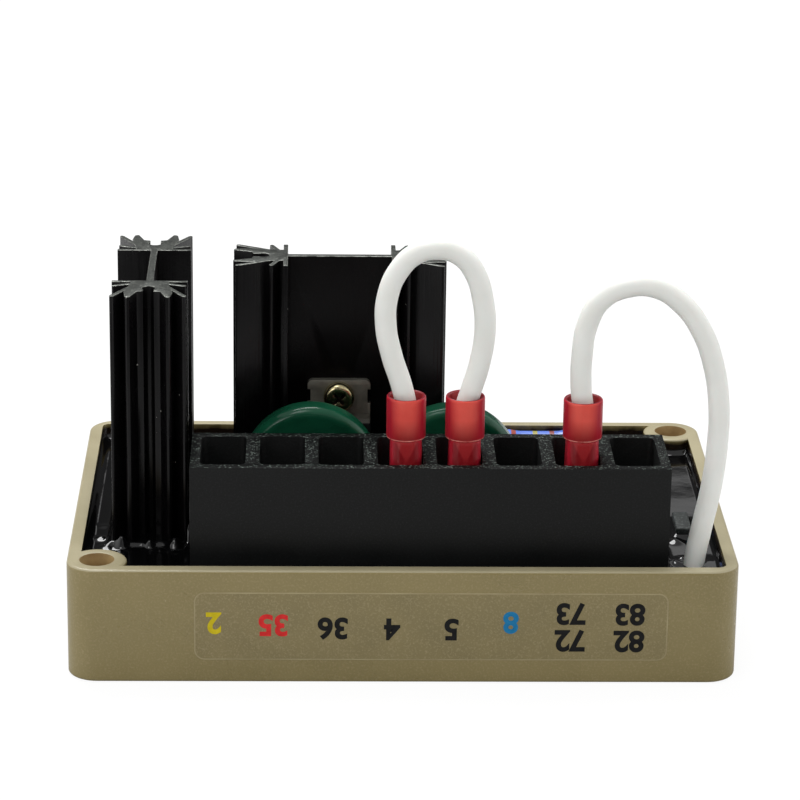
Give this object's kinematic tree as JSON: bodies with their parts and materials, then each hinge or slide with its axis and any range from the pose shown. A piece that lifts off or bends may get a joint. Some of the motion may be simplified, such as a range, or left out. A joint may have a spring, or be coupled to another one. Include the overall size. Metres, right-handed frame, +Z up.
{
  "type": "automatic voltage regulator",
  "caption": "Potted automatic voltage regulator: an open tan tray of black epoxy with finned heat sinks, green disc varistors, a row of blade terminals and push-on white leads.",
  "frame": {"origin": "centre of the tray's flat underside", "axes": "+Z up out of the tray, +X along the row of terminals, -Y to the side with the terminals"},
  "size_m": [0.1, 0.0672, 0.0646],
  "materials": {
    "tan_plastic": "satin moulded plastic",
    "board_laminate": "glass laminate",
    "black_epoxy": "glossy poured epoxy",
    "black_plastic": "fine matte moulding",
    "tinned_metal": "tin plate",
    "black_anodised": "black anodised, bare cut ends",
    "device_plate": "dull plated copper",
    "device_plastic": "moulded epoxy",
    "screw_brass": "passivated",
    "green_coating": "glossy dipped epoxy",
    "resistor_coating": "glossy lacquer",
    "capacitor_plastic": "stippled moulding",
    "trimmer_plastic": "moulded",
    "rotor_plastic": "moulded",
    "red_nylon": "translucent nylon",
    "white_insulation": "smooth insulation"
  },
  "bodies": {
    "regulator": {"case": "tan_plastic", "circuit_board": "board_laminate", "potting": "black_epoxy", "terminal_housing": "black_plastic", "blade_terminal_1": "tinned_metal", "blade_terminal_2": "tinned_metal", "blade_terminal_3": "tinned_metal", "blade_terminal_4": "tinned_metal", "blade_terminal_5": "tinned_metal", "blade_terminal_6": "tinned_metal", "blade_terminal_7": "tinned_metal", "blade_terminal_8": "tinned_metal", "left_heat_sink": "black_anodised", "rear_heat_sink": "black_anodised", "heat_sink_pins": "tinned_metal", "left_device_tab": "device_plate", "left_device_body": "device_plastic", "rear_device_tab": "device_plate", "rear_device_body": "device_plastic", "device_leads": "tinned_metal", "device_screws": "screw_brass", "device_nuts": "screw_brass", "left_varistor": "green_coating", "right_varistor": "green_coating", "varistor_leads": "tinned_metal", "banded_resistor": "resistor_coating", "resistor_leads": "tinned_metal", "block_capacitor": "capacitor_plastic", "capacitor_leads": "tinned_metal", "voltage_trimmer_body": "trimmer_plastic", "stability_trimmer_body": "trimmer_plastic", "trimmer_pins": "tinned_metal", "connector_sleeve_1": "red_nylon", "connector_sleeve_2": "red_nylon", "connector_sleeve_3": "red_nylon", "receptacle_1": "tinned_metal", "receptacle_2": "tinned_metal", "receptacle_3": "tinned_metal", "jumper_wire": "white_insulation", "frequency_lead": "white_insulation"},
    "voltage_rotor": {"voltage_trimmer_rotor": "rotor_plastic"},
    "stability_rotor": {"stability_trimmer_rotor": "rotor_plastic"}
  },
  "joints": [
    {"name": "voltage_adjust", "type": "hinge", "parent": "regulator", "child": "voltage_rotor", "pos_m": [0.023, 0.008, 0.0166], "axis": [0, 0, 1], "range_deg": [-130, 130]},
    {"name": "stability_adjust", "type": "hinge", "parent": "regulator", "child": "stability_rotor", "pos_m": [0.036, 0.008, 0.0166], "axis": [0, 0, 1], "range_deg": [-130, 130]}
  ]
}
